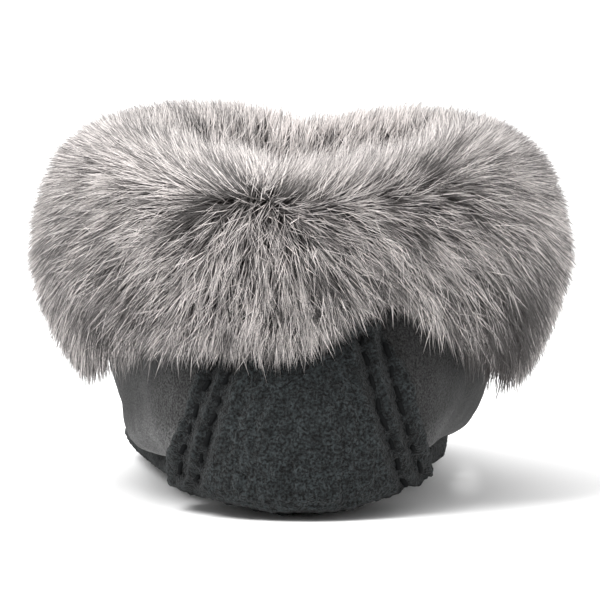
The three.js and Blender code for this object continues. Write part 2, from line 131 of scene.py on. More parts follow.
class ThreadSettings(bpy.types.PropertyGroup):
    colour: bpy.props.FloatVectorProperty(
        name="Thread", description="Colour of the thread", default=(0.0055, 0.006, 0.0064), **COLOUR
    )
    thickness: bpy.props.FloatProperty(
        name="Thickness", description="Thickness of the thread", default=1.6 * MM, **LENGTH
    )
    stitch: bpy.props.FloatProperty(
        name="Stitch", description="Length of a stitch", default=5.4 * MM, **LENGTH
    )
    pitch: bpy.props.FloatProperty(
        name="Pitch", description="From one stitch to the next", default=6.3 * MM, **LENGTH
    )


class StageSettings(bpy.types.PropertyGroup):
    distance: bpy.props.FloatProperty(
        name="Distance", description="Camera's distance behind the heel seat", default=1.515, unit="LENGTH"
    )
    height: bpy.props.FloatProperty(
        name="Height", description="Camera's height over the floor", default=0.167, unit="LENGTH"
    )
    aside: bpy.props.FloatProperty(
        name="Aside", description="Camera's place to the inner side", default=0.0, unit="LENGTH"
    )
    lens: bpy.props.FloatProperty(name="Lens", description="Camera's focal length in mm", default=306.0)
    sky: bpy.props.FloatProperty(name="Sky", description="Strength of the even light", default=0.8)
    floor: bpy.props.FloatVectorProperty(
        name="Floor", description="Colour of the floor", default=(0.94, 0.94, 0.94), **COLOUR
    )


# Mesh helpers


def activate(piece):
    """Makes one object the only selected and active one."""
    bpy.ops.object.select_all(action="DESELECT")
    piece.select_set(True)
    bpy.context.view_layer.objects.active = piece


def edit(piece, *steps):
    """Runs edit mode steps on everything in a piece."""
    activate(piece)
    bpy.ops.object.mode_set(mode="EDIT")
    bpy.ops.mesh.select_all(action="SELECT")
    for step in steps:
        step()
    bpy.ops.object.mode_set(mode="OBJECT")


def finish_modifier(piece, kind, **values):
    """Adds a modifier with its values and applies it."""
    activate(piece)
    modifier = piece.modifiers.new(kind.title(), kind)
    for name, value in values.items():
        setattr(modifier, name, value)
    bpy.ops.object.modifier_apply(modifier=modifier.name)


def copy_of(node, name):
    """A merged copy of a CAD node, as a piece that stands for it."""
    piece = bpy.data.objects.new(name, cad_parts[node].data.copy())
    bpy.context.scene.collection.objects.link(piece)
    piece.data.materials.clear()
    edit(piece, lambda: bpy.ops.mesh.remove_doubles(threshold=0.02 * MM))
    return piece


def settle(piece, material, nodes=()):
    """Gives a finished piece its material and its body, and hides the CAD nodes that it stands for."""
    piece.data.materials.clear()
    piece.data.materials.append(material)
    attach(piece, "root")
    if nodes:
        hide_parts(*nodes)


def smooth(piece):
    activate(piece)
    bpy.ops.object.shade_smooth_by_angle(angle=math.pi)


def points_of(piece):
    """Places and normals of a piece's vertices."""
    count = len(piece.data.vertices)
    places = np.empty(count * 3)
    normals = np.empty(count * 3)
    piece.data.vertices.foreach_get("co", places)
    piece.data.vertices.foreach_get("normal", normals)
    return places.reshape(-1, 3), normals.reshape(-1, 3)


def move_points(piece, places):
    piece.data.vertices.foreach_set("co", np.ascontiguousarray(places, dtype=float).ravel())
    piece.data.update()


def raise_points(piece, places, normals, lift):
    """Puts a piece's points at places, raised along their normals by millimetres."""
    move_points(piece, places + normals * lift[:, None] * MM)


def mark_blend(piece, values):
    """How far each point takes its material's second colour."""
    layer = piece.data.attributes.new("blend", "FLOAT", "POINT")
    layer.data.foreach_set("value", np.asarray(values, dtype=float))


def mesh_piece(name, places, triangles):
    """A piece from arrays of places and triangles."""
    mesh = bpy.data.meshes.new(name)
    mesh.vertices.add(len(places))
    mesh.vertices.foreach_set("co", np.ascontiguousarray(places, dtype=float).ravel())
    mesh.loops.add(triangles.size)
    mesh.loops.foreach_set("vertex_index", triangles.astype(np.int32).ravel())
    mesh.polygons.add(len(triangles))
    mesh.polygons.foreach_set("loop_start", np.arange(0, triangles.size, 3, dtype=np.int32))
    mesh.update(calc_edges=True)
    piece = bpy.data.objects.new(name, mesh)
    bpy.context.scene.collection.objects.link(piece)
    return piece


def cloudy(places, size, seed=0.0):
    """Soft noise from -1 to 1 at each place, its lumps about one size across."""
    shift = Vector((seed, seed * 1.7, seed * 2.3))
    return np.array([noise.noise(Vector(place) / size + shift) for place in places])


def waves(places, table):
    """Noise added up from a table of sizes in millimetres, heights and seeds."""
    return sum(height * cloudy(places, size * MM, seed) for size, height, seed in table)


def bell(distance, reach):
    """1 at no distance, falling softly to 0 past the reach."""
    return np.exp(-((distance / reach) ** 2))


def rise(value, start, end):
    """0 up to a start, then straight to 1 at an end, which may lie below the start."""
    return np.clip((value - start) / (end - start), 0.0, 1.0)


def distance_to_line(places, line):
    """Distance of each place from a line of points, in the line's own dimensions."""
    line = np.asarray(line, dtype=float)
    nearest = np.full(len(places), np.inf)
    for start, end in zip(line[:-1], line[1:]):
        along = end - start
        share = np.clip(((places - start) @ along) / (along @ along), 0.0, 1.0)
        gap = np.linalg.norm(places - (start + share[:, None] * along), axis=1)
        nearest = np.minimum(nearest, gap)
    return nearest


def unit(vectors):
    return vectors / np.maximum(np.linalg.norm(vectors, axis=-1, keepdims=True), 1e-12)


def surface_of(*pieces):
    """A tree of the joined faces of pieces, to find places on them."""
    places, faces = [], []
    for piece in pieces:
        start = len(places)
        places += [v.co.copy() for v in piece.data.vertices]
        faces += [[start + v for v in p.vertices] for p in piece.data.polygons]
    return BVHTree.FromPolygons(places, faces)


# Materials


def new_group(name, inputs, outputs):
    """An empty node group with named sockets, and its two ends."""
    group = bpy.data.node_groups.new(name, "ShaderNodeTree")
    for label, kind, value in inputs:
        socket = group.interface.new_socket(label, in_out="INPUT", socket_type=kind)
        if value is not None:
            socket.default_value = value
    for label, kind in outputs:
        group.interface.new_socket(label, in_out="OUTPUT", socket_type=kind)
    return group, group.nodes.new("NodeGroupInput"), group.nodes.new("NodeGroupOutput")


def new_node(tree, kind, **values):
    """A node with its settings and its unlinked inputs."""
    node = tree.nodes.new(kind)
    for name, value in values.items():
        if hasattr(node, name):
            setattr(node, name, value)
        else:
            node.inputs[name.replace("_", " ").title()].default_value = value
    return node


def swing(group, value, between, amount):
    """A value between two ends, as a factor from 1 less an amount to 1 and an amount."""
    factor = new_node(group, "ShaderNodeMapRange", from_min=between[0], from_max=between[1])
    group.links.new(value, factor.inputs["Value"])
    for end, operation in (("To Min", "SUBTRACT"), ("To Max", "ADD")):
        limit = new_node(group, "ShaderNodeMath", operation=operation)
        limit.inputs[0].default_value = 1.0
        group.links.new(amount, limit.inputs[1])
        group.links.new(limit.outputs[0], factor.inputs[end])
    return factor.outputs[0]


# Each grain of the nap: its input, its detail, the ends of its noise and the input that swings it
NAP_GRAINS = [("Grain", 3.0, (0.38, 0.62), "Depth"), ("Patches", 2.0, (0.3, 0.7), "Cloud")]


def nap_group():
    """Fibrous nap: mottled shade and height from two grains, with their sizes in millimetres."""
    group, given, result = new_group(
        "Nap",
        [
            ("Grain", "NodeSocketFloat", 1.2),
            ("Patches", "NodeSocketFloat", 9.0),
            ("Base", "NodeSocketColor", (0.1, 0.1, 0.1, 1)),
            ("Depth", "NodeSocketFloat", 0.5),
            ("Cloud", "NodeSocketFloat", 0.3),
        ],
        [("Color", "NodeSocketColor"), ("Height", "NodeSocketFloat")],
    )
    link = group.links.new
    place = new_node(group, "ShaderNodeTexCoord")
    heights, factors = [], []
    for label, detail, ends, amount in NAP_GRAINS:
        scale = new_node(group, "ShaderNodeMath", operation="DIVIDE")
        scale.inputs[0].default_value = 1.0 / MM
        link(given.outputs[label], scale.inputs[1])
        texture = new_node(group, "ShaderNodeTexNoise", detail=detail, roughness=0.62)
        link(place.outputs["Object"], texture.inputs["Vector"])
        link(scale.outputs[0], texture.inputs["Scale"])
        heights.append(texture.outputs["Fac"])
        factors.append(swing(group, texture.outputs["Fac"], ends, given.outputs[amount]))
    shade = new_node(group, "ShaderNodeMath", operation="MULTIPLY")
    link(factors[0], shade.inputs[0])
    link(factors[1], shade.inputs[1])
    tint = new_node(group, "ShaderNodeVectorMath", operation="SCALE")
    link(given.outputs["Base"], tint.inputs[0])
    link(shade.outputs[0], tint.inputs["Scale"])
    link(tint.outputs[0], result.inputs["Color"])
    link(heights[0], result.inputs["Height"])
    return group


def new_material(name, roughness, sheen=0.0, specular=0.15):
    """A material with its shader, whose even values stand on the shader."""
    material = bpy.data.materials.new(name)
    material.use_nodes = True
    shader = material.node_tree.nodes["Principled BSDF"]
    shader.inputs["Roughness"].default_value = roughness
    shader.inputs["Specular IOR Level"].default_value = specular
    shader.inputs["Sheen Weight"].default_value = sheen
    shader.inputs["Sheen Roughness"].default_value = 0.5
    return material, material.node_tree, shader


def mix_colours(tree, factor):
    """A mix of two colours by a factor: its two inputs and its output."""
    mix = new_node(tree, "ShaderNodeMix", data_type="RGBA")
    tree.links.new(factor, mix.inputs["Factor"])
    return mix.inputs[6], mix.inputs[7], mix.outputs[2]


# Naps: sizes of grain and patches in millimetres, how much each of them changes the shade, the
# grain's height in millimetres, roughness and sheen
NAPS = {
    "Suede": (0.6, 10.0, 0.75, 0.3, 0.4, 0.9, 0.1),
    "Sole felt": (1.1, 8.0, 1.0, 0.25, 1.1, 0.95, 0.05),
    "Footbed felt": (0.9, 10.0, 0.25, 0.2, 0.3, 0.95, 0.2),
    "Patch felt": (0.8, 3.2, 1.0, 0.5, 1.9, 0.97, 0.08),
    "Underfur": (1.5, 8.0, 0.6, 0.3, 0.8, 0.95, 0.0),
}


def napped_material(name, colour, second=None):
    """Suede or felt with its nap, and a second colour as far as the blend at each point says: painted
    highlights on the suede, painted shade in the patch's grooves.
    """
    grain, patches, depth, cloud, bump, roughness, sheen = NAPS[name]
    material, tree, shader = new_material(name, roughness, sheen)
    link = tree.links.new
    nap = new_node(tree, "ShaderNodeGroup", node_tree=bpy.data.node_groups["Nap"])
    for label, value in (("Grain", grain), ("Patches", patches), ("Depth", depth), ("Cloud", cloud)):
        nap.inputs[label].default_value = value
    base = (*colour, 1.0)
    if second is None:
        nap.inputs["Base"].default_value = base
    else:
        # The blend paints highlights on the suede and shade in the heel patch's grooves
        blend_share = new_node(tree, "ShaderNodeAttribute", attribute_name="blend")
        none, full, mixed = mix_colours(tree, blend_share.outputs["Fac"])
        none.default_value = base
        full.default_value = (*second, 1.0)
        link(mixed, nap.inputs["Base"])
    link(nap.outputs["Color"], shader.inputs["Base Color"])
    relief = new_node(tree, "ShaderNodeBump", strength=1.0, distance=bump * MM)
    link(nap.outputs["Height"], relief.inputs["Height"])
    link(relief.outputs["Normal"], shader.inputs["Normal"])
    return material


def fur_material(fur):
    """Hair colour by its own map: u is how pale the hair is, v runs from root to tip."""
    material, tree, shader = new_material("Rabbit fur", roughness=0.45, specular=0.42)
    link = tree.links.new
    place = new_node(tree, "ShaderNodeUVMap", uv_map="OFBake")
    split = new_node(tree, "ShaderNodeSeparateXYZ")
    link(place.outputs["UV"], split.inputs[0])
    ramps = []
    # The stops of a dark and of a pale hair: place along it, colour and how bright that is
    shades = {
        "dark": [(0.0, fur.root, 0.2), (0.45, fur.dark, 0.7), (0.75, fur.pale, 0.1), (1.0, fur.dark, 0.6)],
        "pale": [(0.0, fur.root, 0.2), (0.36, fur.pale, 0.03), (0.56, fur.pale, 1.0), (1.0, fur.pale, 0.95)],
    }
    for stops in shades.values():
        ramp = new_node(tree, "ShaderNodeValToRGB")
        while len(ramp.color_ramp.elements) < len(stops):
            ramp.color_ramp.elements.new(0.5)
        for element, (spot, colour, share) in zip(ramp.color_ramp.elements, stops):
            element.position = spot
            element.color = (*(min(1.0, part * share) for part in colour), 1.0)
        link(split.outputs["Y"], ramp.inputs["Fac"])
        ramps.append(ramp.outputs["Color"])
    dark, pale, mixed = mix_colours(tree, split.outputs["X"])
    link(ramps[0], dark)
    link(ramps[1], pale)
    link(mixed, shader.inputs["Base Color"])
    return material


# Suede: soft folds of the upper, in the shoe's own millimetres. Each fold is a line of
# places, its half width and its height, which is below 0 for a trough.
SUEDE_FOLDS = [
    ([(43, 3, 20), (48, 14, 30), (50, 24, 42)], 5.0, -0.4),
    ([(54, 60, 22), (58, 66, 34), (56, 74, 48)], 5.0, -1.0),
    ([(-42, 6, 18), (-48, 16, 30), (-50, 26, 44)], 6.0, -0.5),
    ([(-52, 70, 20), (-60, 78, 34), (-58, 86, 48)], 6.0, -1.0),
    ([(-57, 120, 20), (-58, 126, 34), (-50, 128, 50)], 5.0, -0.8),
    ([(52, 120, 22), (52, 126, 36), (44, 128, 52)], 5.0, -0.8),
    ([(-34, 150, 62), (-12, 156, 68), (12, 156, 68), (34, 150, 60)], 5.0, -0.7),
    ([(-40, 166, 52), (-14, 174, 60), (14, 174, 60), (38, 166, 52)], 5.0, -0.9),
    ([(-40, 184, 42), (-20, 192, 50), (12, 193, 51), (34, 186, 42)], 6.0, -0.6),
]
# Painted highlight along the folds, the apron's even tint of the pale colour, and the suede's soft unevenness
FOLD_HIGHLIGHT = 0.14
APRON_TINT = 0.12
SUEDE_WAVES = [(26.0, 0.7, 3.0), (9.0, 0.25, 5.0)]
# Gathers round the toe: the shoe's middle that they turn round, from one to the next, their
# height, how far up they reach, where they start and are full towards the toe, the radius that
# turns are measured at, and how their spacing wanders
SHOE_MIDDLE = 95.0
GATHER_PITCH = 9.0
GATHER_HEIGHT = 0.55
GATHER_REACH = 13.0
GATHER_START = (60.0, 140.0)
GATHER_RADIUS = 90.0
GATHER_DRIFT = [(30.0, 6.0, 0.0)]
# The lower rim: its steps round the shoe, its painted highlight as reach and strength, and how flat folds end
RIM_STEPS = 120
RIM_HIGHLIGHT = [(1.2, 0.6), (8.0, 0.42)]
RIM_FLAT = 0.2
RIM_EASE = 3.0
# Painted light: how much paler the heel's outer side is painted than its inner side, over what width, and how
# far forward
SIDE_LIGHT = 0.1
SIDE_WIDTH = 20.0
SIDE_LIGHT_LENGTH = 80.0
# The rim swells out on the heel's outer side, and drops beside the patch
RIM_SAG = (-5.2, 0.0, -0.6)
SAG_REACH = 15.0
SAG_ACROSS = (-36.0, -46.0)
SAG_FORWARD = (80.0, 50.0)
RIM_DROP = 2.6
DROP_ACROSS = (37.0, 4.5)
DROP_REACH = 8.0
DROP_LENGTH = 45.0


class SHOE_OT_suede(bpy.types.Operator):
    """Suede shell with soft folds, gathered round the toe, and its apron"""

    bl_idname = "shoe.suede"
    bl_label = "Suede upper and apron"

    @staticmethod
    def folds(millimetres):
        """Height of the folds at each place, and how much painted highlight they get."""
        lift = np.zeros(len(millimetres))
        painted_light = np.zeros(len(millimetres))
        for line, width, height in SUEDE_FOLDS:
            near = bell(distance_to_line(millimetres, line), width)
            lift += height * near
            painted_light += FOLD_HIGHLIGHT * near
        return lift, painted_light

    @staticmethod
    def rim_height(turn, height):
        """Height of the lower rim at each place's turn round the shoe."""
        steps = ((turn + math.pi) / (2 * math.pi) * RIM_STEPS).astype(int) % RIM_STEPS
        rim = np.full(RIM_STEPS, np.inf)
        np.minimum.at(rim, steps, height)
        middles = (np.arange(RIM_STEPS) + 0.5) * 2 * math.pi / RIM_STEPS - math.pi
        return np.interp(turn, middles, rim, period=2 * math.pi)

    @staticmethod
    def rim_moves(across, forward, above):
        """How far each place is drawn out or down along the heel's lower rim."""
        sag = rise(across, *SAG_ACROSS) * rise(forward, *SAG_FORWARD) * bell(above, SAG_REACH)
        moves = sag[:, None] * np.array(RIM_SAG)
        beside = bell(np.abs(across) - DROP_ACROSS[0], DROP_ACROSS[1]) * bell(above, DROP_REACH)
        moves[:, 2] -= RIM_DROP * beside * (forward < DROP_LENGTH)
        return moves

    def execute(self, context):
        suede = context.scene.suede
        upper = copy_of("upper", "suede_upper")
        edit(upper, bpy.ops.mesh.tris_convert_to_quads)
        finish_modifier(upper, "SUBSURF", levels=2, render_levels=2)
        places, normals = points_of(upper)
        across, forward, height = (places / MM).T
        turn = np.arctan2(across, forward - SHOE_MIDDLE)
        above = height - self.rim_height(turn, height)
        lift, painted_light = self.folds(places / MM)
        gathered = rise(above, GATHER_REACH, 0.0) * rise(forward, *GATHER_START)
        around = turn * GATHER_RADIUS + waves(places, GATHER_DRIFT)
        lift += GATHER_HEIGHT * gathered * np.sin(2 * math.pi * around / GATHER_PITCH)
        lift += waves(places, SUEDE_WAVES)
        lift *= np.clip(RIM_FLAT + above / RIM_EASE, RIM_FLAT, 1.0)
        # Painted highlight along the lower rim, then painted light: the outer side paler, the inner side
        # darker
        painted_light += sum(strength * bell(above, reach) for reach, strength in RIM_HIGHLIGHT)
        painted_light -= SIDE_LIGHT * np.clip(across / SIDE_WIDTH, -1.0, 1.0) * (forward < SIDE_LIGHT_LENGTH)
        places = places + self.rim_moves(across, forward, above) * MM
        raise_points(upper, places, normals, lift)
        mark_blend(upper, np.clip(painted_light, 0.0, 1.0))
        smooth(upper)
        material = napped_material("Suede", suede.colour, suede.rubbed)
        settle(upper, material, ["upper"])

        apron = copy_of("apron", "suede_apron")
        finish_modifier(apron, "REMESH", mode="VOXEL", voxel_size=1.3 * MM)
        places, normals = points_of(apron)
        lift, _ = self.folds(places / MM)
        raise_points(apron, places, normals, lift)
        finish_modifier(apron, "SMOOTH", factor=0.5, iterations=3)
        mark_blend(apron, np.full(len(apron.data.vertices), APRON_TINT))
        smooth(apron)
        settle(apron, material, ["apron"])
        return {"FINISHED"}


# Felt sole: its unevenness, how much of that its flat faces keep, and its seat on the floor
SOLE_WAVES = [(4.5, 0.7, 1.0), (2.2, 0.6, 2.0)]
FLAT_SHARE = 0.25
SIDE_SLOPE = 1.3
SEAT_HEIGHT = 0.3
# Its cut corner beside the heel, the size of that and how far it is drawn out
CUT_CORNER = (-50.0, 14.0, 20.0)
CORNER_SIZE = (5.0, 14.0, 5.0)
CORNER_PULL = (-2.0, 0.0, -3.0)


class SHOE_OT_felt_sole(bpy.types.Operator):
    """Felt sole with its rough cut edge, and the footbed"""

    bl_idname = "shoe.felt_sole"
    bl_label = "Felt sole and footbed"

    def execute(self, context):
        felt = context.scene.felt
        sole = copy_of("sole", "felt_sole")
        finish_modifier(sole, "REMESH", mode="VOXEL", voxel_size=1.45 * MM)
        places, normals = points_of(sole)
        side = np.clip(1.0 - np.abs(normals[:, 2]) * SIDE_SLOPE, 0.0, 1.0)
        lift = waves(places, SOLE_WAVES) * (FLAT_SHARE + (1.0 - FLAT_SHARE) * side)
        lift[places[:, 2] < SEAT_HEIGHT * MM] = 0.0
        corner = np.linalg.norm((places / MM - CUT_CORNER) / CORNER_SIZE, axis=1)
        places = places + bell(corner, 1.0)[:, None] * np.array(CORNER_PULL) * MM
        raise_points(sole, places, normals, lift)
        smooth(sole)
        material = napped_material("Sole felt", felt.sole)
        settle(sole, material, ["sole"])

        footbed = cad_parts["insole"]
        material = napped_material("Footbed felt", felt.footbed)
        footbed.data.materials.clear()
        footbed.data.materials.append(material)
        return {"FINISHED"}


# Heel patch: stitch lines seen from behind, as places across and up in millimetres
STITCH_ROWS = {
    "left_outer": [(-37.4, 11.0), (-35.9, 19.5), (-33.3, 28.5), (-29.7, 37.4), (-27.2, 44.7), (-25.0, 51.7)],
    "left_inner": [(-33.2, 7.6), (-30.0, 18.5), (-27.6, 27.7), (-24.4, 37.5), (-21.4, 44.7), (-19.4, 51.7)],
    "right_inner": [(29.8, 7.3), (26.6, 18.6), (22.7, 30.3), (19.9, 39.7), (17.9, 47.7), (16.6, 53.7)],
    "right_outer": [(35.2, 10.5), (31.6, 20.9), (28.9, 30.2), (26.2, 41.0), (23.9, 49.9), (22.8, 54.7)],
}
# How much further its sides reach: height, and how much to the left and to the right of it
PATCH_SIDES = [
    (7.0, 0.0, 0.0), (11.0, 1.5, 0.8), (16.0, 4.6, 1.6),
    (27.0, 3.6, 3.6), (36.0, 3.6, 4.8), (60.0, 3.4, 4.4),
]
# The middle of the heel's turn, and from where across to where this widening sets in
PATCH_MIDDLE = 34.0
WIDENING = (8.0, 26.0)
# Its outer face looks backwards, above the part that is wrapped under the heel
OUTER_FACING = 0.25
OUTER_BOTTOM = 2.0
# Its unevenness: crumbs in parts of the nap's height, soft waves, and little of both at its seat
CRUMBS = [(2.6, 1.0, 7.0), (1.5, 0.8, 8.0)]
PATCH_WAVES = [(12.0, 0.5, 9.0)]
PATCH_SEAT = 0.35
SEAT_SHARE = 0.1
# Grooves that the stitches sink in, the ridges beside them and the painted shade round them, in the thread's
# colour
GROOVE_HALF = 1.9
GROOVE_DEPTH = 1.6
RIDGE_PLACE = 3.4
RIDGE_HALF = 1.6
RIDGE_HEIGHT = 0.5
GROOVE_SHADE_HALF = 2.5
GROOVE_SHADE_SHARE = 0.7
# Stitches: how far they sink in, how far their ends sag, and how their size and turn wander
STITCH_SINK = 0.15
STITCH_SAG = 0.35
STITCH_SWELL = 0.14
STITCH_TILT = 0.24
RAY_START = -90.0


def walk(line, pitch):
    """Places along a line at even steps, from its start."""
    line = np.asarray(line, dtype=float)
    lengths = np.linalg.norm(np.diff(line, axis=0), axis=1)
    far = np.concatenate([[0.0], np.cumsum(lengths)])
    spots = np.arange(pitch / 2, far[-1], pitch)
    return np.stack([np.interp(spots, far, line[:, k]) for k in range(line.shape[1])], axis=1)


def stitch_template(thread):
    """One stitch: a round-ended length of thread along X."""
    bpy.ops.object.select_all(action="DESELECT")
    bpy.ops.mesh.primitive_uv_sphere_add(segments=10, ring_count=8, radius=thread.thickness / 2)
    stitch = bpy.context.active_object
    places, _ = points_of(stitch)
    places = places[:, [2, 0, 1]]
    half = (thread.stitch - thread.thickness) / 2
    places[:, 0] += half * np.sign(np.round(places[:, 0], 7))
    sag = STITCH_SAG * thread.thickness * (places[:, 0] / (thread.stitch / 2)) ** 2
    places[:, 2] -= sag
    mesh = stitch.data
    mesh.calc_loop_triangles()
    triangles = np.array([t.vertices[:] for t in mesh.loop_triangles])
    bpy.data.objects.remove(stitch)
    return places, triangles


def sew(name, thread, seats, material):
    """Joins a copy of the stitch at each seat: its place, its direction and its normal."""
    places, triangles = stitch_template(thread)
    all_places, all_triangles = [], []
    for number, (spot, along, off) in enumerate(seats):
        along = unit(along - off * (along @ off))
        frame_axes = np.stack([along, np.cross(off, along), off])
        scale = 1.0 + STITCH_SWELL * math.sin(number * 2.3)
        tilt = STITCH_TILT * math.sin(number * 4.1 + 0.6)
        frame_axes[0], frame_axes[1] = (
            frame_axes[0] * math.cos(tilt) + frame_axes[1] * math.sin(tilt),
            frame_axes[1] * math.cos(tilt) - frame_axes[0] * math.sin(tilt),
        )
        all_places.append(spot + (places * scale) @ frame_axes)
        all_triangles.append(triangles + number * len(places))
    piece = mesh_piece(name, np.concatenate(all_places), np.concatenate(all_triangles))
    edit(piece, lambda: bpy.ops.mesh.normals_make_consistent(inside=False))
    smooth(piece)
    settle(piece, material)


class SHOE_OT_heel_patch(bpy.types.Operator):
    """Heel patch of crumbly felt, with its sunk rows of thick stitches"""

    bl_idname = "shoe.heel_patch"
    bl_label = "Heel patch and its stitches"

    @staticmethod
    def widened(places):
        """Turns the patch's sides outwards round the heel, by its table of widths at each height."""
        across, forward, height = (places / MM).T
        back = PATCH_MIDDLE - forward
        heights, left, right = np.array(PATCH_SIDES).T
        sides = np.interp(height, heights, left), np.interp(height, heights, right)
        out = np.where(across < 0, *sides) * rise(np.abs(across), *WIDENING)
        turn = np.sign(across) * out / np.maximum(np.hypot(across, back), 1.0)
        moved = places.copy()
        moved[:, 0] = (across * np.cos(turn) + back * np.sin(turn)) * MM
        moved[:, 1] = (PATCH_MIDDLE - (back * np.cos(turn) - across * np.sin(turn))) * MM
        return moved

    def execute(self, context):
        felt = context.scene.felt
        thread = context.scene.thread
        patch = copy_of("heel_patch", "felt_heel_patch")
        finish_modifier(patch, "REMESH", mode="VOXEL", voxel_size=0.8 * MM)
        finish_modifier(patch, "SMOOTH", factor=0.5, iterations=2)
        places, normals = points_of(patch)
        places = self.widened(places)
        millimetres = places / MM
        groove = np.full(len(places), np.inf)
        for line in STITCH_ROWS.values():
            groove = np.minimum(groove, distance_to_line(millimetres[:, [0, 2]], line))
        outer = (normals[:, 1] < OUTER_FACING) & (millimetres[:, 2] > OUTER_BOTTOM)
        lift = waves(places, CRUMBS) * felt.nap / MM + waves(places, PATCH_WAVES)
        lift -= GROOVE_DEPTH * bell(groove, GROOVE_HALF) * outer
        lift += RIDGE_HEIGHT * bell(groove - RIDGE_PLACE, RIDGE_HALF) * outer
        lift[millimetres[:, 2] < PATCH_SEAT] *= SEAT_SHARE
        raise_points(patch, places, normals, lift)
        # Painted shade in the grooves, in the thread's colour
        mark_blend(patch, GROOVE_SHADE_SHARE * bell(groove, GROOVE_SHADE_HALF) * outer)
        smooth(patch)
        material = napped_material("Patch felt", felt.patch, thread.colour)
        settle(patch, material, ["heel_patch"])

        surface = surface_of(patch)
        black, tree, shader = new_material("Thread", roughness=0.85, specular=0.08)
        shader.inputs["Base Color"].default_value = (*thread.colour, 1.0)
        twist = new_node(tree, "ShaderNodeTexNoise", detail=2.0, scale=1600.0)
        place = new_node(tree, "ShaderNodeTexCoord")
        relief = new_node(tree, "ShaderNodeBump", strength=0.8, distance=0.15 * MM)
        tree.links.new(place.outputs["Object"], twist.inputs["Vector"])
        tree.links.new(twist.outputs["Fac"], relief.inputs["Height"])
        tree.links.new(relief.outputs["Normal"], shader.inputs["Normal"])
        seats = []
        for line in STITCH_ROWS.values():
            spots = walk(line, thread.pitch / MM)
            for pair in zip(spots, spots + np.gradient(spots, axis=0)):
                starts = [Vector((across, RAY_START, up)) * MM for across, up in pair]
                hits = [surface.ray_cast(start, Vector((0.0, 1.0, 0.0))) for start in starts]
                if any(hit[0] is None for hit in hits):
                    continue
                off = np.array(hits[0][1])
                along = np.array(hits[1][0] - hits[0][0])
                seats.append((np.array(hits[0][0]) - off * STITCH_SINK * MM, along, unit(off)))
        sew("heel_stitches", thread, seats, black)
        return {"FINISHED"}


# Fur: the cuff's outer shape is read from the frame by rays to the middle of its ring
TURNS = 160
LAYERS = 56
LOW_TURN = math.radians(-72.0)
HIGH_TURN = math.radians(222.0)
RING_OUT = 7.0 * MM
RING_DOWN = 12.0 * MM
HEM_MARGIN = 8.0 * MM
HANG_REACH = 35.0 * MM
# Rays start this far out, and nearer inside the collar, short of its other side
RAY_LENGTH = 60.0 * MM
INNER_RAY = 30.0 * MM
INNER_COSINE = -0.3
# The collar's line: above which height, in how many steps, how near to a step in radians
COLLAR_BOTTOM = 80.0 * MM
COLLAR_STEPS = 48
COLLAR_NEAR = 0.09
SMOOTHINGS = 6

# Where the hem hangs lower or higher at the back: place across, reach and drop in millimetres
HEM_CHANGES = [(60.0, 11.0, 10.0), (22.5, 13.0, -7.0), (-69.0, 9.0, 3.0)]


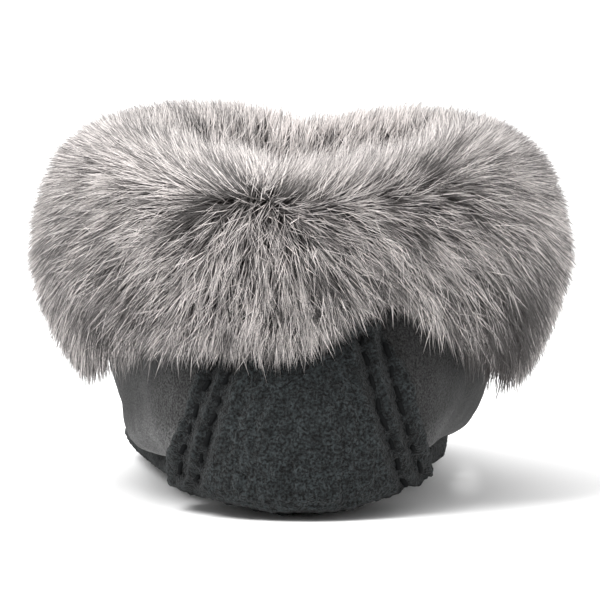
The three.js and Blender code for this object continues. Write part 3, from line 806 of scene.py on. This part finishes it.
class Cuff:
    """The fur's outer surface on a grid: turns round the collar by layers from the hem
    over the crest to the inside, with its normals and its directions."""

    def __init__(self):
        upper = copy_of("upper", "probe_upper")
        cuff = copy_of("fur_cuff", "probe_cuff")
        tree = surface_of(cuff)
        collar = self.collar_line(upper)
        centre = collar.mean(axis=0)
        angles = np.linspace(0.0, 2 * math.pi, TURNS, endpoint=False)
        out = np.stack([np.sin(angles), -np.cos(angles), np.zeros(TURNS)], axis=1)
        spread = np.arctan2(collar[:, 0] - centre[0], centre[1] - collar[:, 1]) % (2 * math.pi)
        order = np.argsort(spread)
        ring = np.stack(
            [np.interp(angles, spread[order], collar[order, k], period=2 * math.pi) for k in range(3)], axis=1
        )
        ring = ring + out * RING_OUT
        ring[:, 2] -= RING_DOWN
        leans = np.linspace(LOW_TURN, HIGH_TURN, LAYERS)
        reach = np.empty((TURNS, LAYERS))
        for i in range(TURNS):
            for j, lean in enumerate(leans):
                heading = out[i] * math.cos(lean)
                heading[2] = math.sin(lean)
                far = RAY_LENGTH if math.cos(lean) > INNER_COSINE else INNER_RAY
                hit = tree.ray_cast(Vector(ring[i] + heading * far), Vector(-heading), far)
                reach[i, j] = far - hit[3] if hit[0] is not None else np.nan
        self.reach = self.even(reach)
        heading = out[:, None, :] * np.cos(leans)[None, :, None]
        heading[:, :, 2] = np.sin(leans)[None, :]
        self.grid = ring[:, None, :] + heading * self.reach[:, :, None]
        around = np.roll(self.grid, -1, axis=0) - np.roll(self.grid, 1, axis=0)
        up = np.gradient(self.grid, axis=1)
        self.normals = unit(np.cross(around, up))
        self.up = unit(up)
        self.ring = ring
        steps = np.linalg.norm(np.diff(self.grid, axis=1), axis=2)
        self.above_hem = np.concatenate([np.zeros((TURNS, 1)), np.cumsum(steps, axis=1)], axis=1)
        for probe in (upper, cuff):
            bpy.data.objects.remove(probe)

    @staticmethod
    def collar_line(upper):
        """The upper's outer edge at the collar."""
        places, _ = points_of(upper)
        tops = places[places[:, 2] > COLLAR_BOTTOM]
        centre = tops.mean(axis=0)
        turn = np.arctan2(tops[:, 0] - centre[0], tops[:, 1] - centre[1])
        line = []
        for step in np.arange(COLLAR_STEPS) * 2 * math.pi / COLLAR_STEPS:
            near = np.abs((turn - step + math.pi) % (2 * math.pi) - math.pi) < COLLAR_NEAR
            if near.any():
                some = tops[near]
                rim = some[np.argsort(some[:, 2])[-2:]]
                line.append(rim.mean(axis=0))
        return np.array(line)

    @staticmethod
    def even(reach):
        """Fills rays that missed, and smooths the locks away."""
        for i in range(len(reach)):
            row = reach[i]
            known = ~np.isnan(row)
            row[~known] = np.interp(np.flatnonzero(~known), np.flatnonzero(known), row[known])
        for _ in range(SMOOTHINGS):
            middle = np.roll(reach, 1, 0) + np.roll(reach, -1, 0) + 2 * reach
            reach = middle / 4
            padded = np.pad(reach, ((0, 0), (1, 1)), mode="edge")
            reach = (padded[:, :-2] + padded[:, 2:] + 2 * reach) / 4
        return reach

    def read(self, array, turn, layer):
        """Reads a grid at places between its rows, turn in rows round and layer in rows up."""
        i = np.floor(turn).astype(int)
        j = np.clip(np.floor(layer).astype(int), 0, LAYERS - 2)
        a = (turn - i)[:, None]
        b = (layer - j)[:, None]
        i, following = i % TURNS, (i + 1) % TURNS
        low = array[i, j] * (1 - a) + array[following, j] * a
        high = array[i, j + 1] * (1 - a) + array[following, j + 1] * a
        return low * (1 - b) + high * b

    def seen(self, across, up):
        """The nearest place on the fur that shows at a place across and up, seen from behind."""
        gap = np.hypot(self.grid[:, :, 0] - across, self.grid[:, :, 2] - up)
        gap += DEPTH_COUNTS * self.grid[:, :, 1]
        gap = np.where(self.normals[:, :, 1] < SEEN_FACING, gap, np.inf)
        return self.grid.reshape(-1, 3)[np.argmin(gap)]

    def scatter(self, count, rng):
        """Places spread evenly over the fur."""
        sides = np.linalg.norm(np.roll(self.grid, -1, axis=0) - self.grid, axis=2)[:, :-1]
        heights = np.linalg.norm(np.diff(self.grid, axis=1), axis=2)
        area = (sides * heights * (self.above_hem[:, :-1] > HEM_MARGIN)).ravel()
        cell = rng.choice(area.size, size=count, p=area / area.sum())
        i, j = np.divmod(cell, LAYERS - 1)
        return i + rng.random(count), j + rng.random(count)


# Combing of the fur seen from behind: places across and up in millimetres, and the way that
# the hair lies there in degrees clockwise from straight up. It parts in a whorl over the heel.
COMBING = [
    (-26.4, 107.8, -25), (-33.8, 114.2, -32), (-45.7, 113.4, -48), (-60.9, 113.0, -58), (-72.6, 106.6, -72),
    (-45.7, 101.6, -80), (-60.9, 98.1, -86), (-74.8, 91.6, -90), (-51.7, 88.1, -105), (-39.1, 85.3, -125),
    (-67.0, 80.0, -106), (-77.0, 78.0, -110), (-51.7, 74.8, -121), (-63.9, 65.3, -130), (-73.9, 55.7, -160),
    (-45.7, 63.2, -137), (-59.3, 49.2, -175), (-30.8, 63.8, -155), (-39.7, 51.7, -160), (-26.4, 82.9, -168),
    (-16.1, 78.7, 178), (-6.7, 78.8, 170), (-13.1, 64.1, 180), (0.0, 67.1, 173), (-16.1, 52.4, -172),
    (-4.4, 52.5, 178), (-1.5, 89.0, 148), (7.3, 87.6, 133), (10.2, 75.3, 150), (19.0, 81.6, 130),
    (16.1, 64.1, 164), (27.8, 78.5, 130), (27.8, 66.8, 154), (7.3, 95.7, 96), (19.0, 93.3, 104),
    (27.8, 89.6, 115), (42.7, 83.4, 125), (51.7, 74.2, 136), (42.7, 67.8, 150), (36.7, 60.1, 157),
    (51.7, 58.5, 162), (63.9, 73.6, 138), (71.7, 82.8, 115), (75.1, 91.6, 95), (63.9, 92.1, 105),
    (57.8, 98.2, 104), (42.7, 98.7, 110), (35.2, 103.9, 98), (21.9, 101.5, 82), (7.3, 102.8, 58),
    (27.8, 110.7, 60), (13.1, 110.3, 42), (42.7, 110.5, 68), (57.8, 110.1, 64), (51.7, 116.8, 45),
    (70.1, 102.2, 78), (-1.5, 110.9, 12), (-7.3, 102.2, 18), (-10.2, 116.8, 2), (-19.0, 113.8, -10),
    (10.2, 117.6, 20), (33.8, 117.4, 36), (63.9, 53.4, 174), (71.7, 61.9, 165), (57.8, 41.3, 176),
    (-33.8, 96.0, -100), (-26.4, 100.5, -60), (-17.5, 102.1, -10), (-32.3, 89.5, -128), (-12.6, 89.0, 180),
]
COMB_REACH = 8.0 * MM
# How little the fall to the hem counts beside the combing
FALL_SHARE = 0.01
WHORL = (-11.0, 94.0)
WHORL_REACH = 9.0 * MM
# A place seen from behind: how much the nearer one counts, and the faces that look away from it
DEPTH_COUNTS = 0.05
SEEN_FACING = 0.15

# Painted light and shade on the fur: mostly darker in its creases, hollows and lower lobes, paler on the
# crest and inside the collar. Each is a place across and up, its reach in millimetres and its change
PAINTED_FUR_LIGHT = [
    (-2.0, 117.0, 18, 0.22), (22.0, 118.0, 18, 0.22),
    (-17.0, 106.0, 13, 0.2), (6.0, 106.0, 13, 0.2), (29.0, 106.0, 13, 0.2),
    (-29.3, 90.8, 8, -0.6), (-36.7, 84.7, 5.5, -0.4), (1.5, 92.3, 5.5, -0.4), (-15.5, 92.2, 5, -0.35),
    (39.1, 100.5, 6.5, -0.42), (44.5, 96.9, 5, -0.3), (61.5, 52.1, 20, -0.8), (70.8, 57.4, 14, -0.7),
    (64.0, 44.0, 9, -0.6), (-57.8, 55.3, 15, -0.46), (-73.2, 70.7, 12, -0.4), (-66.0, 50.0, 10, -0.3),
    (16.1, 64.7, 9, -0.18), (27.8, 63.9, 8, -0.12),
    (10.2, 115.3, 22, 0.2), (36.7, 112.1, 18, 0.15), (-30.8, 116.6, 18, 0.1), (-19.0, 74.3, 12, 0.18),
    (-16.1, 52.4, 11, 0.1), (-54.8, 95.4, 18, 0.06), (51.7, 77.7, 15, -0.05), (7.3, 97.8, 7, 0.15),
    (-10.8, 96.3, 3, 0.25),
]


def hair_flow(cuff, turn, layer, places, normals):
    """Direction that the fur lies in: as combed at the back, and falling to the hem elsewhere."""
    flow = -cuff.read(cuff.up, turn, layer) * FALL_SHARE
    for across, up, angle in COMBING:
        spot = cuff.seen(across * MM, up * MM)
        near = np.exp(-0.5 * np.sum((places - spot) ** 2, axis=1) / COMB_REACH**2)
        way = np.array([math.sin(math.radians(angle)), 0.0, math.cos(math.radians(angle))])
        flow += near[:, None] * way
    flow -= normals * np.sum(flow * normals, axis=1, keepdims=True)
    return unit(flow)


def turned(flow, normals, angle):
    """Directions turned in the surface by an angle at each place."""
    side = np.cross(normals, flow)
    return unit(flow * np.cos(angle)[:, None] + side * np.sin(angle)[:, None])


def hair_template(bends):
    """One hair: a three-sided spike, its rings of three places from the root, then its tip."""
    bpy.ops.object.select_all(action="DESELECT")
    bpy.ops.mesh.primitive_cone_add(vertices=3, radius1=1.0, radius2=0.0, depth=1.0)
    cone = bpy.context.active_object
    sides, _ = points_of(cone)
    ring = sides[np.argsort(sides[:, 2])[:3]][:, :2]
    bpy.data.objects.remove(cone)
    ring = ring[np.argsort(np.arctan2(ring[:, 1], ring[:, 0]))]
    tip = 3 * (bends + 1)
    triangles = [(0, 2, 1)]
    for k in range(3):
        after = (k + 1) % 3
        for level in range(bends):
            low, high = 3 * level, 3 * level + 3
            triangles += [(low + k, low + after, high + after), (low + k, high + after, high + k)]
        triangles.append((tip - 3 + k, tip - 3 + after, tip))
    return ring, np.array(triangles)


# Two coats: hairs to a wisp, how far their directions scatter, how far wisps are drawn to their
# tuft, how steeply hairs stand off in degrees, the share of a hair below the coat's surface,
# how much paler they are, and their bends
COAT = {"wisp": 5, "scatter": 0.12, "pull": 0.35, "stand": 17.0, "deep": 0.34, "shade": -0.34, "bends": 0}
GUARD = {"wisp": 1, "scatter": 0.44, "pull": 0.0, "stand": 25.0, "deep": 0.4, "shade": 0.2, "bends": 1}
# How much steeper hairs stand in degrees: on the crest, in the whorl and on the fluffy ridge over
# the heel, and less at the hem, as a share
CREST_STAND = 26.0
WHORL_STAND = 10.0
FLUFF_STAND = 22.0
HEM_STAND = 0.3
# The ridge: how much longer its hairs are, its place across, its reach and how far forward it goes
FLUFF_GROWTH = 0.55
FLUFF_PLACE = 4.0
FLUFF_REACH = 34.0
FLUFF_FRONT = 30.0
# The slopes between which the crest sets in, and the way back that the hem's outer face looks
CREST_SLOPES = (0.25, 0.75)
HEM_FACING = 0.3
# How the combing wanders in radians and how pale the hair is, both with softer and finer noise
SWEEP_WAVES = [(24.0, 0.3, 11.0), (9.0, 0.32, 12.0)]
TONE = 0.54
TONE_WAVES = [(14.0, 0.26, 21.0), (6.0, 0.24, 22.0)]
# Scatter between wisps, tufts and single hairs, as a spread or as two ends
WISP_SWEEP = 0.14
WHORL_SWEEP = 3.0
WISP_STAND = 5.0
TUFT_STAND = 4.0
HAIR_STAND = 4.0
STAND_ENDS = (2.0, 80.0)
WISP_SIZES = (0.85, 1.1)
TUFT_SIZE = 0.08
HAIR_SIZES = (0.85, 1.08)
HAIR_WIDTHS = (0.7, 1.25)
WISP_TONE = 0.46
TUFT_TONE = 0.2
HAIR_TONE = 0.16
TONE_ENDS = (0.02, 0.98)
HAIR_SPREAD = 0.5 * MM
HAIR_SLIDE = 2.4 * MM
# Shares of a hair: where its tone is read, how deep its root lies of what is below the surface,
# how far its tip closes to its wisp and sags, and its bend along it and down
TONE_SPOT = 0.4
ROOT_SINK = 0.6
TIP_CLOSE = 0.8
TIP_SAG = 0.1
BEND_ALONG = 0.12
BEND_DOWN = 0.04
# More inset, in parts of the inset: on the crest, at the hem, low on the inner side, and less on
# the inner and on the outer side, each with its change on the crest
CREST_INSET = 1.3
HEM_INSET = 0.7
LOW_INSET = 0.9
INNER_INSET = (0.6, 0.9)
OUTER_INSET = (1.1, 1.1)
SIDE_REACH = 60.0
LOW_HEIGHTS = (80.0, 50.0)
# Pieces that the hairs are split in
COAT_PIECES = 3
GUARD_PIECES = 2


def crest_of(normals):
    """How far each place lies on the crest: 1 where it looks up."""
    return rise(normals[:, 2], *CREST_SLOPES)


def comb(cuff, fur, rng, count, length, width, style):
    """Hairs as three control places each, with how pale and how wide each one is."""
    wisps = count // style["wisp"]
    turn, layer = cuff.scatter(wisps, rng)
    spots = cuff.read(cuff.grid, turn, layer)
    normals = unit(cuff.read(cuff.normals, turn, layer))
    flow = hair_flow(cuff, turn, layer, spots, normals)
    crest = crest_of(normals)
    whorl = np.linalg.norm(spots - cuff.seen(WHORL[0] * MM, WHORL[1] * MM), axis=1)
    tangle = bell(whorl, WHORL_REACH)
    sweep = waves(spots, SWEEP_WAVES)
    sweep += rng.normal(0.0, WISP_SWEEP, wisps) * (1.0 + WHORL_SWEEP * tangle)
    flow = turned(flow, normals, sweep)

    tuft_spots = cuff.read(cuff.grid, *cuff.scatter(fur.tufts, rng))
    tree = kdtree.KDTree(fur.tufts)
    for k, spot in enumerate(tuft_spots):
        tree.insert(spot, k)
    tree.balance()
    tuft = np.array([tree.find(spot)[1] for spot in spots])

    above_hem = cuff.read(cuff.above_hem[:, :, None], turn, layer)[:, 0]
    high = rise(above_hem, 0.0, HANG_REACH)
    stand = style["stand"] * (HEM_STAND + (1.0 - HEM_STAND) * high)
    stand += CREST_STAND * crest + WHORL_STAND * tangle
    stand += rng.normal(0.0, WISP_STAND, wisps) + rng.normal(0.0, TUFT_STAND, fur.tufts)[tuft]
    size = length * rng.uniform(*WISP_SIZES, wisps)
    size *= 1.0 + TUFT_SIZE * rng.normal(0.0, 1.0, fur.tufts)[tuft]
    across, forward, height = (spots / MM).T
    side = rise(np.abs(across), 0.0, SIDE_REACH)
    low = rise(height, *LOW_HEIGHTS)
    inner = across > 0.0
    even, more = np.where(inner[:, None], INNER_INSET, OUTER_INSET).T
    inset = 1.0 + CREST_INSET * crest + HEM_INSET * (1.0 - high)
    inset += side * (LOW_INSET * inner * low - (1.0 - low) * (even + more * crest))
    fluff = crest * bell(across - FLUFF_PLACE, FLUFF_REACH) * (forward < FLUFF_FRONT)
    size *= 1.0 + FLUFF_GROWTH * fluff
    stand += FLUFF_STAND * fluff
    spots = spots - normals * (fur.inset * inset)[:, None]
    for across, reach, drop in HEM_CHANGES:
        near = bell(spots[:, 0] / MM - across, reach) * (1.0 - high)
        spots[:, 2] -= drop * MM * near * (normals[:, 1] < HEM_FACING)
    ends = spots + flow * (size * (1.0 - style["deep"]))[:, None]
    sums = np.stack([np.bincount(tuft, ends[:, k], fur.tufts) for k in range(3)], axis=1)
    middles = sums / np.maximum(np.bincount(tuft, minlength=fur.tufts), 1)[:, None]
    drawn = (middles[tuft] - ends) * style["pull"]

    shown = spots + flow * (TONE_SPOT * size)[:, None]
    tone = TONE + waves(shown, TONE_WAVES) + style["shade"]
    tone += rng.normal(0.0, WISP_TONE, wisps) + rng.normal(0.0, TUFT_TONE, fur.tufts)[tuft]
    # Painted light and shade from the table
    for across, up, reach, change in PAINTED_FUR_LIGHT:
        gap = np.linalg.norm(shown - cuff.seen(across * MM, up * MM), axis=1) / MM
        tone += change * bell(gap, reach)

    which = np.repeat(np.arange(wisps), style["wisp"])
    count = len(which)
    normals, flow, size, crest = normals[which], flow[which], size[which], crest[which]
    side = np.cross(normals, flow)
    spread = rng.normal(0.0, HAIR_SPREAD, count)[:, None]
    slide = rng.normal(0.0, HAIR_SLIDE, count)[:, None]
    places = spots[which] + side * spread + flow * slide
    flow = turned(flow, normals, rng.normal(0.0, style["scatter"], count))
    stand = np.radians(np.clip(stand[which] + rng.normal(0.0, HAIR_STAND, count), *STAND_ENDS))
    size = size * rng.uniform(*HAIR_SIZES, count)
    deep = style["deep"] * size
    free = (size - deep)[:, None]
    sink = ROOT_SINK * deep
    roots = places - normals * sink[:, None] - flow * np.sqrt(deep**2 - sink**2)[:, None]
    tips = places + (flow * np.cos(stand)[:, None] + normals * np.sin(stand)[:, None]) * free
    tips += drawn[which] - side * spread * TIP_CLOSE
    tips[:, 2] -= TIP_SAG * free[:, 0] * (1.0 - crest)
    bends = places + (flow * BEND_ALONG - normals * BEND_DOWN) * free
    tone = np.clip(tone[which] + rng.normal(0.0, HAIR_TONE, count), *TONE_ENDS)
    return roots, bends, tips, tone, width * rng.uniform(*HAIR_WIDTHS, count)


# A hair's rings: how wide they are, in its width, and where they and the tip lie on its map. Its
# map is a narrow strip, kept off the map's edges.
RING_WIDTHS = (0.5, 0.44)
RING_PLACES = (0.02, 0.5)
TIP_PLACE = 0.97
STRIP_HALF = 0.012
MAP_EDGES = (0.002, 0.998)


def grow(name, hairs, rng, style, material):
    """Builds hairs from their control places as one joined mesh, with its own map."""
    roots, middles, tips, tone, width = hairs
    count = len(roots)
    bends = style["bends"]
    ring, triangles = hair_template(bends)
    size = 3 * (bends + 1) + 1
    heading = unit(tips - roots)
    side = unit(np.cross(heading, rng.normal(0.0, 1.0, (count, 3))))
    other = np.cross(heading, side)
    places = np.empty((count, size, 3))
    levels = [roots]
    if bends:
        levels.append(0.2 * roots + 0.5 * middles + 0.3 * tips)
    for level, (spots, share) in enumerate(zip(levels, RING_WIDTHS)):
        for k in range(3):
            offset = side * ring[k, 0] + other * ring[k, 1]
            places[:, 3 * level + k] = spots + offset * (width * share)[:, None]
    places[:, -1] = tips
    all_triangles = (triangles[None] + size * np.arange(count)[:, None, None]).reshape(-1, 3)
    piece = mesh_piece(name, places.reshape(-1, 3), all_triangles)

    across = np.append(np.tile([-STRIP_HALF, 0.0, STRIP_HALF], bends + 1), 0.0)
    along = np.append(np.repeat(RING_PLACES[: bends + 1], 3), TIP_PLACE) + across
    u = np.clip(tone[:, None] + across[None], *MAP_EDGES)
    v = np.broadcast_to(np.clip(along, *MAP_EDGES), (count, size))
    corners = np.stack([u, v], axis=2).reshape(-1, 2)[all_triangles.ravel()]
    layer = piece.data.uv_layers.new(name="OFBake")
    layer.data.foreach_set("uv", np.ascontiguousarray(corners, dtype=float).ravel())
    smooth(piece)
    settle(piece, material)


# Underfur: its layers, how deep it lies in millimetres at the hem, how much deeper past the edge
# and on the crest, and its share of the way to the ring at most
UNDERFUR_LAYERS = 30
EDGE_SHARE = 0.15
HEM_DEPTH = 5.5
EDGE_DEPTH = 4.0
CREST_DEPTH = 2.5
DEPTH_SHARE = 0.6
UNDERFUR_WAVES = [(7.0, 1.2, 31.0), (3.0, 0.6, 32.0)]


def underfur(cuff, material):
    """The dense underfur: a closed ring below the hairs, from the hem over the crest."""
    turns = np.arange(TURNS, dtype=float)
    rings = []
    for layer in np.linspace(0, LAYERS - 1, UNDERFUR_LAYERS):
        at = np.full(TURNS, layer)
        places = cuff.read(cuff.grid, turns, at)
        normals = unit(cuff.read(cuff.normals, turns, at))
        edge = min(1.0, layer / (EDGE_SHARE * LAYERS))
        depth = (HEM_DEPTH + EDGE_DEPTH * edge + CREST_DEPTH * crest_of(normals)) * MM
        reach = cuff.read(cuff.reach[:, :, None], turns, at)[:, 0]
        depth = np.minimum(depth, DEPTH_SHARE * reach)
        rings.append(places - normals * depth[:, None])
    seats = [rings[0] * 0.45 + cuff.ring * 0.55, rings[-1] * 0.3 + cuff.ring * 0.7]
    rings = [*rings, seats[1], seats[0]]
    faces = []
    for level in range(len(rings)):
        low, high = level * TURNS, (level + 1) % len(rings) * TURNS
        for k in range(TURNS):
            after = (k + 1) % TURNS
            faces += [(low + k, low + after, high + after), (low + k, high + after, high + k)]
    piece = mesh_piece("underfur", np.concatenate(rings), np.array(faces))
    edit(piece, lambda: bpy.ops.mesh.normals_make_consistent(inside=False))
    places, normals = points_of(piece)
    raise_points(piece, places, normals, waves(places, UNDERFUR_WAVES))
    smooth(piece)
    settle(piece, material, ["fur_cuff"])


class SHOE_OT_fur(bpy.types.Operator):
    """Turned-down cuff of long fur, combed from a parting over the heel"""

    bl_idname = "shoe.fur"
    bl_label = "Fur cuff"

    def execute(self, context):
        fur = context.scene.fur
        rng = np.random.default_rng(17)
        cuff = Cuff()
        woolly = napped_material("Underfur", fur.root)
        underfur(cuff, woolly)
        material = fur_material(fur)
        share = 1.0
        batch = int(fur.hairs * share / COAT_PIECES)
        for number in range(COAT_PIECES):
            hairs = comb(cuff, fur, rng, batch, fur.hair_length, fur.hair_width, COAT)
            grow(f"fur_coat_{number + 1}", hairs, rng, COAT, material)
        batch = int(fur.guards * share / GUARD_PIECES)
        for number in range(GUARD_PIECES):
            hairs = comb(cuff, fur, rng, batch, fur.guard_length, fur.guard_width, GUARD)
            grow(f"fur_guard_hair_{number + 1}", hairs, rng, GUARD, material)
        return {"FINISHED"}


# Floor, light and camera. Lamps: name, direction that they shine from, how wide they are in degrees, strength
SUNS = [
    ("key", (-0.58, -0.48, 1.1), 38.0, 3.4),
    ("top", (0.1, 0.5, 1.0), 80.0, 2.1),
]
# The camera looks down and to the side by these degrees, and the floor lies this far down
CAMERA_PITCH = 3.93
CAMERA_YAW = 0.056
FLOOR_SIZE = 80.0
FLOOR_DROP = 0.3 * MM


class SHOE_OT_stage(bpy.types.Operator):
    """Pale floor, soft studio light and the camera behind the heel"""

    bl_idname = "shoe.stage"
    bl_label = "Floor, light and camera"

    def execute(self, context):
        stage = context.scene.stage
        bpy.ops.object.select_all(action="DESELECT")
        bpy.ops.mesh.primitive_plane_add(size=FLOOR_SIZE, location=(0, 0, -FLOOR_DROP))
        floor = context.active_object
        floor.name = "floor"
        material, tree, shader = new_material("Floor", roughness=0.9, specular=0.0)
        shader.inputs["Base Color"].default_value = (*stage.floor, 1.0)
        floor.data.materials.append(material)

        world = bpy.data.worlds.new("Studio")
        context.scene.world = world
        world.use_nodes = True
        world.node_tree.nodes["Background"].inputs["Color"].default_value = (1.0, 1.0, 1.0, 1.0)
        world.node_tree.nodes["Background"].inputs["Strength"].default_value = stage.sky
        context.scene.view_settings.view_transform = "Standard"
        for name, place, spread, strength in SUNS:
            bpy.ops.object.light_add(type="SUN", location=place)
            lamp = context.active_object
            lamp.name = name
            lamp.data.angle = math.radians(spread)
            lamp.data.energy = strength
            lamp.rotation_euler = (-Vector(place)).to_track_quat("-Z", "Y").to_euler()

        bpy.ops.object.camera_add(location=(stage.aside, -stage.distance, stage.height))
        camera = context.active_object
        camera.name = "camera"
        camera.data.lens = stage.lens
        camera.data.sensor_width = 36.0
        turns = (90.0 - CAMERA_PITCH, 0.0, CAMERA_YAW)
        camera.rotation_euler = [math.radians(turn) for turn in turns]
        context.scene.camera = camera
        return {"FINISHED"}


class SHOE_PT_panel(bpy.types.Panel):
    """Lists the shoe's pieces and their sizes and colours"""

    bl_label = "Fur-trimmed moccasin"
    bl_space_type = "VIEW_3D"
    bl_region_type = "UI"
    bl_category = "Moccasin"

    def draw(self, context):
        for group, operators in PANEL_ROWS:
            box = self.layout.box()
            settings = getattr(context.scene, group)
            for name in settings.__annotations__:
                box.prop(settings, name)
            for operator in operators:
                box.operator(operator.bl_idname)


PANEL_ROWS = (
    ("suede", (SHOE_OT_suede,)),
    ("felt", (SHOE_OT_felt_sole, SHOE_OT_heel_patch)),
    ("thread", ()),
    ("fur", (SHOE_OT_fur,)),
    ("stage", (SHOE_OT_stage,)),
)
SETTINGS = {
    "fur": FurSettings,
    "felt": FeltSettings,
    "suede": SuedeSettings,
    "thread": ThreadSettings,
    "stage": StageSettings,
}
CLASSES = (
    *SETTINGS.values(),
    SHOE_OT_suede,
    SHOE_OT_felt_sole,
    SHOE_OT_heel_patch,
    SHOE_OT_fur,
    SHOE_OT_stage,
    SHOE_PT_panel,
)


def register():
    for each in CLASSES:
        bpy.utils.register_class(each)
    for name, settings in SETTINGS.items():
        setattr(bpy.types.Scene, name, bpy.props.PointerProperty(type=settings))


def unregister():
    for name in SETTINGS:
        delattr(bpy.types.Scene, name)
    for each in reversed(CLASSES):
        bpy.utils.unregister_class(each)


def main():
    register()
    nap_group()
    bpy.ops.shoe.suede()
    bpy.ops.shoe.felt_sole()
    bpy.ops.shoe.heel_patch()
    bpy.ops.shoe.fur()
    bpy.ops.shoe.stage()


if __name__ == "__main__":
    main()
